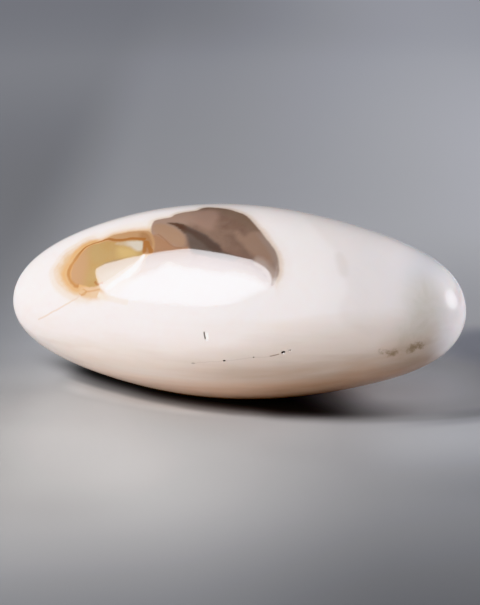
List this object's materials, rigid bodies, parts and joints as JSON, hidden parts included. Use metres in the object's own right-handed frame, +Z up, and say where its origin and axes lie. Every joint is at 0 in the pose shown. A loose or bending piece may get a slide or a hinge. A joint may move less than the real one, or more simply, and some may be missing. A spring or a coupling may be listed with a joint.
{
  "type": "polished agate lingam stone",
  "caption": "Long hand-polished egg of white agate with a brown and a gold patch, lying on its side on a small ground flat.",
  "frame": {"origin": "under the middle of the stone, in the plane of the flat that it lies on", "axes": "+X along the stone from its slimmer tail to its blunter nose, +Z up, -Y towards the side with the brown and gold patches"},
  "size_m": [0.25, 0.115, 0.1058],
  "materials": {
    "polished_agate": "polished"
  },
  "bodies": {
    "root": {"lingam_stone": "polished_agate"}
  },
  "joints": []
}
